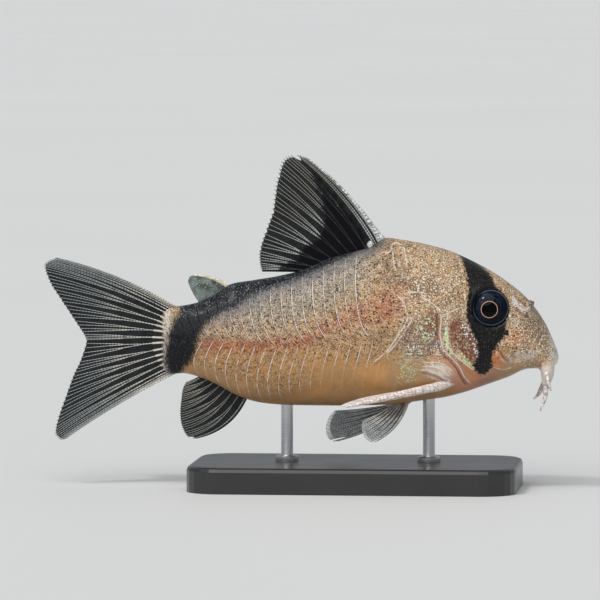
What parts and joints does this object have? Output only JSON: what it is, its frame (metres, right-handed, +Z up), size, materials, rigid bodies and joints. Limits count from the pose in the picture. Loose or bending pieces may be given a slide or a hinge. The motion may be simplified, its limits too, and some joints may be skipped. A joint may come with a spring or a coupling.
{
  "type": "corydoras catfish",
  "caption": "Life-size still model of a masked corydoras catfish, fins spread, held over a flat base by two short rods.",
  "frame": {"origin": "on the floor under the middle of the model's box", "axes": "+X from tail to snout, +Y to the fish's left, +Z up through its back"},
  "size_m": [0.06, 0.021, 0.0386],
  "materials": {
    "skin": "moist skin over bony scutes, golden tan with dark specks",
    "gill_plate": "gill plate with a red and green metallic sheen",
    "eye": "wet, clear cornea over a dark iris",
    "barbel": "soft whitish feeler, moist",
    "fin": "thin smoky membrane with pale rays",
    "stand_plate": "satin black",
    "stand_steel": "satin"
  },
  "bodies": {
    "root": {"head": "skin", "torso": "skin", "tail": "skin", "gill_cover_R": "gill_plate", "gill_cover_L": "gill_plate", "eye_R": "eye", "eye_L": "eye", "barbel_upper_R": "barbel", "barbel_upper_L": "barbel", "barbel_lower_R": "barbel", "barbel_lower_L": "barbel", "dorsal_fin": "fin", "adipose_fin": "fin", "anal_fin": "fin", "caudal_fin_upper": "fin", "caudal_fin_lower": "fin", "pectoral_fin_R": "fin", "pectoral_fin_L": "fin", "pelvic_fin_R": "fin", "pelvic_fin_L": "fin", "stand_base": "stand_plate", "stand_rod_front": "stand_steel", "stand_rod_rear": "stand_steel"}
  },
  "joints": []
}
